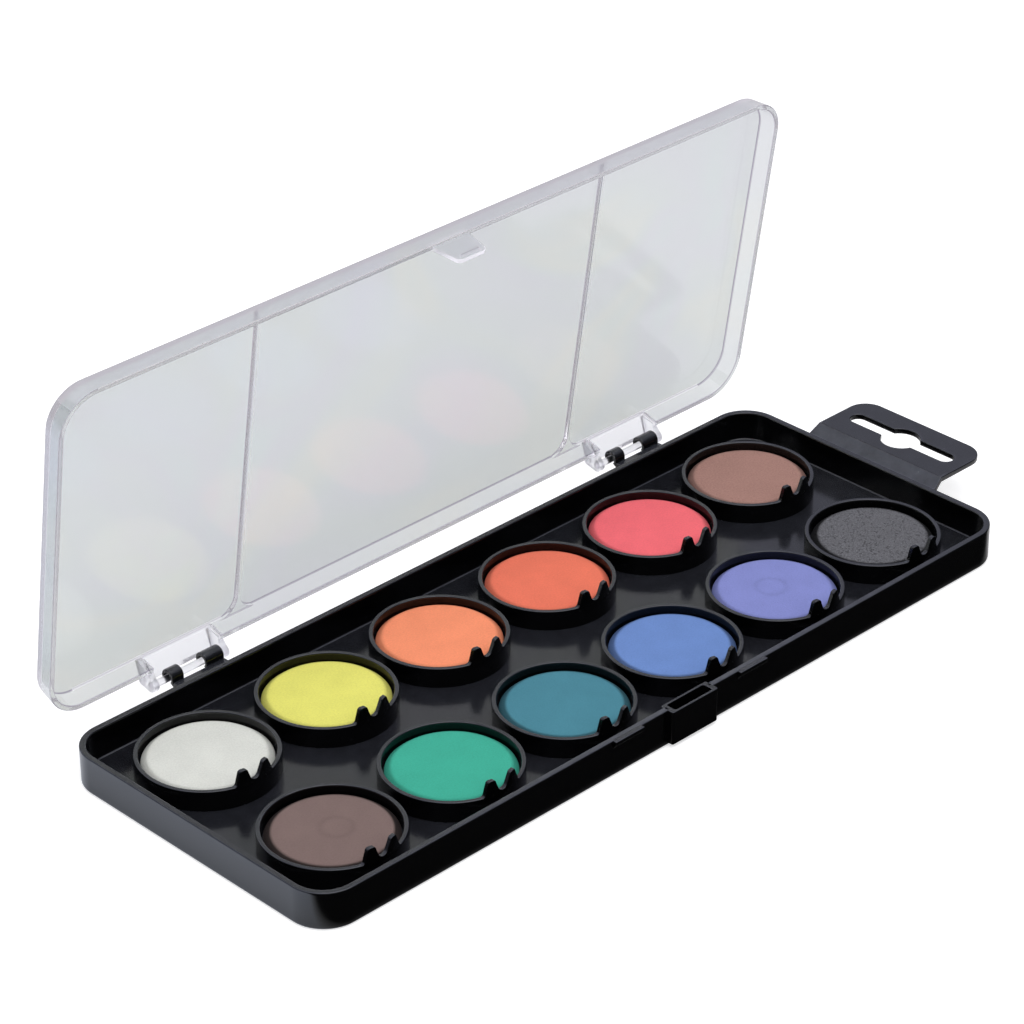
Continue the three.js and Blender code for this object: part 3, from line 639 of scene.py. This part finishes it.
def lid_shell():
    """From the top plate out over the eased edge, down the leaning wall, across the rim, and up
    inside to the wells' ceiling."""
    top, under, rim, ease, bite = LID_TOP, LID_TOP - LID_PLATE, LID_GAP, 0.2, 0.06
    wall, edge, ceiling = LID_WALL, lean(top), LID_WALL + lean(under)
    outer = [(edge + 0.6, top), (edge + 0.33, top - 0.04), (edge + 0.12, top - 0.17),
             (edge + 0.01, top - 0.4), (lean(rim + ease), rim + ease), (bite, rim + bite), (ease, rim)]
    inner = [(wall - ease, rim), (wall - bite, rim + bite), (wall + lean(rim + ease), rim + ease),
             (ceiling - 0.05, under - 0.4), (ceiling + 0.06, under - 0.14),
             (ceiling + 0.2, under - 0.04), (ceiling + 0.45, under)]
    outline = rounded_rectangle(LID_LENGTH, LID_WIDTH, LID_CORNER, 16, (0, (LID_FRONT + LID_BACK) / 2))
    points, faces = skin(rings(outline, np.array(outer + inner)))
    return points, [face[::-1] for face in faces]


def rib(x):
    """Straight from the front wall, and flaring into the back wall with a quarter circle on each
    side. Its crest is rounded, and its foot spreads into the plate in a small hollow."""
    half, r, under = RIB_WIDTH / 2, RIB_FLARE, LID_TOP - LID_PLATE
    crest = under - RIB_HEIGHT
    back, front = LID_BACK - LID_WALL - lean(crest), LID_FRONT + LID_WALL + lean(crest)
    outline = np.concatenate([
        [(-half, front - SINK), (half, front - SINK)],
        arc((half + r, back - r), r, 180, 90, 10),
        [(half + r, back + SINK), (-half - r, back + SINK)],
        arc((-half - r, back - r), r, 90, 0, 10),
    ])
    section = [(0.2, crest), (0.06, crest + 0.04), (0, crest + 0.2), (0, under - 0.3), (-0.04, under - 0.15),
               (-0.14, under - 0.05), (-0.34, under + 0.02), (-0.34, under + SINK)]
    return moved(skin(rings(outline, np.array(section))), x)


def mark_faces(mesh):
    """Rounding attribute of a face: 0 where it lies level or stands upright, and 1 where its
    normal leans between the two, from 17 to 75 degrees off the vertical. It is 0 on the lugs
    and on the tongue. Haze attribute: 1 on the lugs, the tongue and the upright faces of the
    front wall, 0.3 on those of the other three walls, and 0 elsewhere. Puts out which faces of
    the lugs and the tongue are wide, over 20 square millimetres."""
    normal, centre = np.zeros((2, len(mesh.polygons) * 3))
    area = np.zeros(len(mesh.polygons))
    mesh.polygons.foreach_get("normal", normal)
    mesh.polygons.foreach_get("center", centre)
    mesh.polygons.foreach_get("area", area)
    area *= 1e6
    x, y, z = centre.reshape(-1, 3).T * 1000
    steep = np.abs(normal[2::3])
    on_lug = (np.abs(np.abs(x) - HINGE_OFFSET) < LUG_HALF + 0.1) & (y > LUG_FRONT)
    on_tongue = (np.abs(x) < TONGUE_ROOT + 0.1) & (y < TONGUE_BACK) & (z < TONGUE_RISE)
    inserted = (on_lug | on_tongue) & (area < PLATE_AREA)
    front_wall = (steep < UPRIGHT) & (y < FRONT_WALL)
    other_wall = (steep < UPRIGHT) & ((y > BACK_WALL) | (np.abs(x) > END_WALL))
    rounding = (steep > UPRIGHT) & (steep < LEVEL) & ~inserted
    haze = np.where(inserted | front_wall, 1, 0.3 * other_wall)
    for name, values in (("rounding", rounding.astype(float)), ("haze", haze)):
        mesh.attributes.new(name, "FLOAT", "FACE").data.foreach_set("value", values)
    return inserted & (area > WIDE_AREA)


def tongue():
    """The blade's outline in X and Z, wide at its root and round at its tip, has the blade's
    thickness along Y. A bead runs across its outer face."""
    outline = np.concatenate([
        [(TONGUE_ROOT, TONGUE_TOP), (-TONGUE_ROOT, TONGUE_TOP), (-TONGUE_HALF, 0)],
        arc((-TIP_X, TIP_Z), TIP_RADIUS, 180, 270, 8),
        arc((TIP_X, TIP_Z), TIP_RADIUS, 270, 360, 8),
        [(TONGUE_HALF, 0)],
    ])
    points, faces = block(outline, TONGUE_FACE - TONGUE_THICKNESS, TONGUE_FACE, 0.18)
    blade = np.stack([points[:, 0], -points[:, 2], points[:, 1]], 1), faces
    bead = along_x(block(arc((0, 0), BEAD_RADIUS, 0, 345, 23), -TIP_X, TIP_X, 0.1))
    return [blade, moved(bead, 0, -TONGUE_FACE, BEAD_HEIGHT)]


def lug(x):
    """The web's section slants from the plate to its round tip. The ears at its ends reach down
    round the pin. All three are drawn along X."""
    r, inner, outer = WEB_THICKNESS / 2, LUG_HALF - SINK, LUG_HALF - EAR_WIDTH
    web = np.concatenate([[LUG_UNDER], arc(LUG_TIP, r, -90, 90, 12), [LUG_TOP]])
    ear = np.concatenate([EAR_FOOT, arc((0, 0), EAR_RADIUS, 225, 360, 12),
                          arc(LUG_TIP, r + EAR_STEP, 0, 90, 8), [(LUG_TOP[0], LUG_TOP[1] + EAR_STEP)]])
    pin = arc((0, 0), PIN_RADIUS, 0, 350, 35)
    return [along_x(shell) for shell in (
        block(web, x - inner, x + inner, 0.05), block(ear, x - LUG_HALF, x - outer, 0.18),
        block(ear, x + outer, x + LUG_HALF, 0.18), block(pin, x - inner, x + inner, 0.1))]


def combined(base, steps):
    """The base with each shell in turn cut out of it or joined to it."""
    whole = bpy.data.objects.new("whole", plain_mesh("whole", base))
    bpy.context.scene.collection.objects.link(whole)
    tools = []
    for operation, shell in steps:
        tool = bpy.data.objects.new("tool", plain_mesh("tool", shell))
        bpy.context.scene.collection.objects.link(tool)
        tools.append(tool)
        change = whole.modifiers.new("change", "BOOLEAN")
        change.operation, change.object, change.solver, change.use_self = operation, tool, "EXACT", True
    mesh = bpy.data.meshes.new_from_object(whole.evaluated_get(bpy.context.evaluated_depsgraph_get()))
    for made in [whole, *tools]:
        bpy.data.objects.remove(made)
    return mesh


def lug_opening(x):
    """The box between a lug's ears that is cut out of the back wall and the plate."""
    half, front, back = LUG_HALF - EAR_WIDTH + SINK, OPENING_FRONT, OPENING_BACK
    outline = np.array([(x - half, front), (x + half, front), (x + half, back), (x - half, back)])
    return block(outline, OPENING_BOTTOM, OPENING_TOP, 0.01)


def clear_plastic():
    """Clear polystyrene, with faint clouds of blue, violet, yellow and green where the cooling
    plate was strained, painted dark lilac shade on its rounded edges and a few fine scuffs in its
    gloss. The lugs, the tongue and the walls are a little hazy. Rays still within the plastic
    after four reflections see it glow a painted pale lilac."""
    material, tree, bsdf = shader("lid_clear")
    place = add(tree, "TexCoord").outputs["Object"]
    haze, rounding = attribute(tree, "haze"), attribute(tree, "rounding")
    swirl = add(tree, "TexNoise", Vector=place, Scale=16, Detail=2, Distortion=1.2)
    tint = add(tree, "ValToRGB", Fac=swirl.outputs["Fac"])
    elements = tint.color_ramp.elements
    while len(elements) < len(STRAIN_TINTS):
        elements.new(0.5)
    for element, (position, colour) in zip(elements, STRAIN_TINTS):
        element.position, element.color = position, (*colour, 1)
    # Painted shade: the rounded edges are dark lilac, for the dark lines that they bend the light into.
    body = blended(tree, rounding, tint.outputs[0], (0.33, 0.31, 0.37, 1))
    body = blended(tree, haze, body, (0.9, 0.9, 0.93, 1))
    scuffs = add(tree, "TexNoise", Vector=place, Scale=420, Detail=5, Roughness=0.7)
    rough = maths(tree, "MULTIPLY_ADD", haze, 0.2, mapped(tree, scuffs.outputs["Fac"], 0, 1, 0.05, 0.14))
    ripple = add(tree, "TexNoise", Vector=place, Scale=60, Detail=2)
    bump = add(tree, "Bump", Strength=0.02, Distance=0.0005, Height=ripple.outputs["Fac"])
    # Painted glow: after more than three reflections inside the plastic, its faces glow pale lilac, more
    # where they are hazy.
    far = maths(tree, "GREATER_THAN", add(tree, "LightPath").outputs["Glossy Depth"], 3.5)
    left = maths(tree, "MULTIPLY", far, maths(tree, "MULTIPLY_ADD", haze, 0.4, 0.3))
    for key, made in (("Base Color", body), ("Roughness", rough), ("Normal", bump.outputs[0]),
                      ("Emission Strength", left)):
        tree.links.new(made, bsdf.inputs[key])
    bsdf.inputs["Emission Color"].default_value = (0.96, 0.92, 1, 1)
    bsdf.inputs["Transmission Weight"].default_value = 1
    bsdf.inputs["IOR"].default_value = 1.3
    material.cycles.emission_sampling = "NONE"
    return material


openings = [lug_opening(-HINGE_OFFSET), lug_opening(HINGE_OFFSET)]
lugs = [*lug(-HINGE_OFFSET), *lug(HINGE_OFFSET)]
ribs = [rib(-RIB_OFFSET), rib(RIB_OFFSET)]
lid_mesh = combined(lid_shell(), [
    ("DIFFERENCE", joined(openings)),
    ("UNION", joined([*lugs, *ribs, *tongue()])),
])
wide = mark_faces(lid_mesh)
lid_mesh.transform(Matrix.Translation((0, HINGE_Y * 0.001, TRAY_HEIGHT * 0.001))
                   @ Matrix.Rotation(-np.radians(LID_ANGLE), 4, "X"))
lid_mesh.name = "lid_moulding"
put("lid_moulding", lid_mesh, clear_plastic(), "lid", "lid", wide)

# Floor, light and camera
# The box stands on a plain white floor, under wide soft lights from above and the front left, in
# a white room. Shiny faces mirror painted reflections: a room and floor that are pale behind the box
# and past its left end, and dark in front of it and overhead. The camera looks down on the box from its
# front left corner.

# The floor's sizes are in millimetres, and the places of the lights and the camera in metres.
FLOOR_REACH, FLOOR_DROP = 4000, 0.1
LAMP_TARGET = (0, 0, 0.01)
CAMERA_TARGET, CAMERA_DISTANCE = (0.0133, 0.02953, 0.01795), 0.8
CAMERA_HEADING, CAMERA_ELEVATION, CAMERA_ROLL = -134.0672, 30.0468, -0.4753  # degrees

corners = [(-1, -1), (1, -1), (1, 1), (-1, 1)]
floor_points = np.array([(x * FLOOR_REACH, y * FLOOR_REACH, -FLOOR_DROP) for x, y in corners])
floor_mesh = plain_mesh("floor", (floor_points, [[0, 1, 2, 3]]))
white, tree, bsdf = shader("white_floor")
bsdf.inputs["Roughness"].default_value = 0.9
ray = add(tree, "LightPath").outputs
place = add(tree, "SeparateXYZ", Vector=add(tree, "TexCoord").outputs["Object"]).outputs
glossy, through = ray["Is Glossy Ray"], ray["Is Transmission Ray"]
# Painted reflections: to mirrored rays the floor is black in front of the box and glows pale blue past its
# left end. To the camera and through the lid it glows a little, to look evenly white.
mirrored = maths(tree, "SUBTRACT", glossy, through, clamp=True)
dark = maths(tree, "MULTIPLY", mirrored, mapped(tree, place["Y"], -0.036, -0.04, 0, 1))
paper = blended(tree, dark, (0.8, 0.8, 0.82, 1), (0.003, 0.003, 0.003, 1))
pale = maths(tree, "SUBTRACT", glossy, dark)
pale = maths(tree, "SUBTRACT", pale, through, clamp=True)
pale = maths(tree, "MULTIPLY", pale, mapped(tree, place["X"], -0.08, -0.12, 0, 1))
tone = blended(tree, pale, (1, 1, 1, 1), (1.7, 2.2, 3.3, 1))
seen = maths(tree, "MULTIPLY", ray["Is Camera Ray"], 1.5)
seen = maths(tree, "MAXIMUM", seen, through)
seen = maths(tree, "MAXIMUM", seen, pale)
glow = maths(tree, "MULTIPLY", seen, 0.35)
for key, made in (("Base Color", paper), ("Emission Color", tone), ("Emission Strength", glow)):
    tree.links.new(made, bsdf.inputs[key])
floor_mesh.materials.append(white)
floor = bpy.data.objects.new("floor", floor_mesh)
bpy.context.scene.collection.objects.link(floor)

world = bpy.data.worlds.new("room")
bpy.context.scene.world = world
world.use_nodes = True
sky, backdrop = world.node_tree, world.node_tree.nodes["Background"]
ray = add(sky, "LightPath").outputs
straight = maths(sky, "MAXIMUM", ray["Is Camera Ray"], ray["Is Transmission Ray"])
heading = add(sky, "SeparateXYZ", Vector=add(sky, "TexCoord").outputs["Generated"]).outputs
# Painted reflections: mirrors see a cool room, pale behind the box and dark in front; all other rays get an
# even light from it.
height = maths(sky, "MULTIPLY_ADD", heading["Y"], 0.5, heading["Z"])
behind = mapped(sky, height, 0.3, 1, 0.01, 0.74)
behind = maths(sky, "MULTIPLY", behind, mapped(sky, height, 0.9, 1.08, 1, 0.65))
mirror = add(sky, "Mix", {"data_type": "FLOAT"}, i0=ray["Is Glossy Ray"], i2=0.68, i3=behind)
level = maths(sky, "MAXIMUM", straight, mirror.outputs[0])
cool = maths(sky, "SUBTRACT", ray["Is Glossy Ray"], straight, clamp=True)
hue = blended(sky, cool, (1, 1, 1, 1), (0.92, 0.94, 1.15, 1))
sky.links.new(hue, backdrop.inputs["Color"])
sky.links.new(level, backdrop.inputs["Strength"])


def lamp(name, place, size, level):
    """A square soft light that faces the box, whose face is as bright as the level."""
    data = bpy.data.lights.new(name, "AREA")
    data.size, data.energy = size, level * np.pi * size ** 2
    made = bpy.data.objects.new(name, data)
    away = np.array(place) - np.array(LAMP_TARGET)
    away /= np.linalg.norm(away)
    side = np.cross((0, 1, 0.01), away)
    side /= np.linalg.norm(side)
    turn = np.eye(4)
    turn[:3] = np.stack([side, np.cross(away, side), away, place], 1)
    made.matrix_world = Matrix(turn.tolist())
    bpy.context.scene.collection.objects.link(made)
    return made


lamp("overhead", (0, -0.25, 0.9), 0.9, 1.38)
lamp("front_left", (-0.8, -0.35, 0.6), 0.6, 2.06).visible_glossy = False

camera = bpy.data.objects.new("camera", bpy.data.cameras.new("camera"))
bpy.context.scene.collection.objects.link(camera)
camera.matrix_world = (Matrix.Translation(CAMERA_TARGET)
                       @ Matrix.Rotation(np.radians(CAMERA_HEADING + 90), 4, "Z")
                       @ Matrix.Rotation(np.radians(90 - CAMERA_ELEVATION), 4, "X")
                       @ Matrix.Rotation(np.radians(CAMERA_ROLL), 4, "Z")
                       @ Matrix.Translation((0, 0, CAMERA_DISTANCE)))
camera.data.sensor_width, camera.data.lens = 36, 131.74
camera.data.shift_x, camera.data.shift_y = 0.0099, 0.0021
camera.data.clip_start, camera.data.clip_end = 0.01, 20
bpy.context.scene.camera = camera
bpy.context.scene.view_settings.view_transform = "Standard"
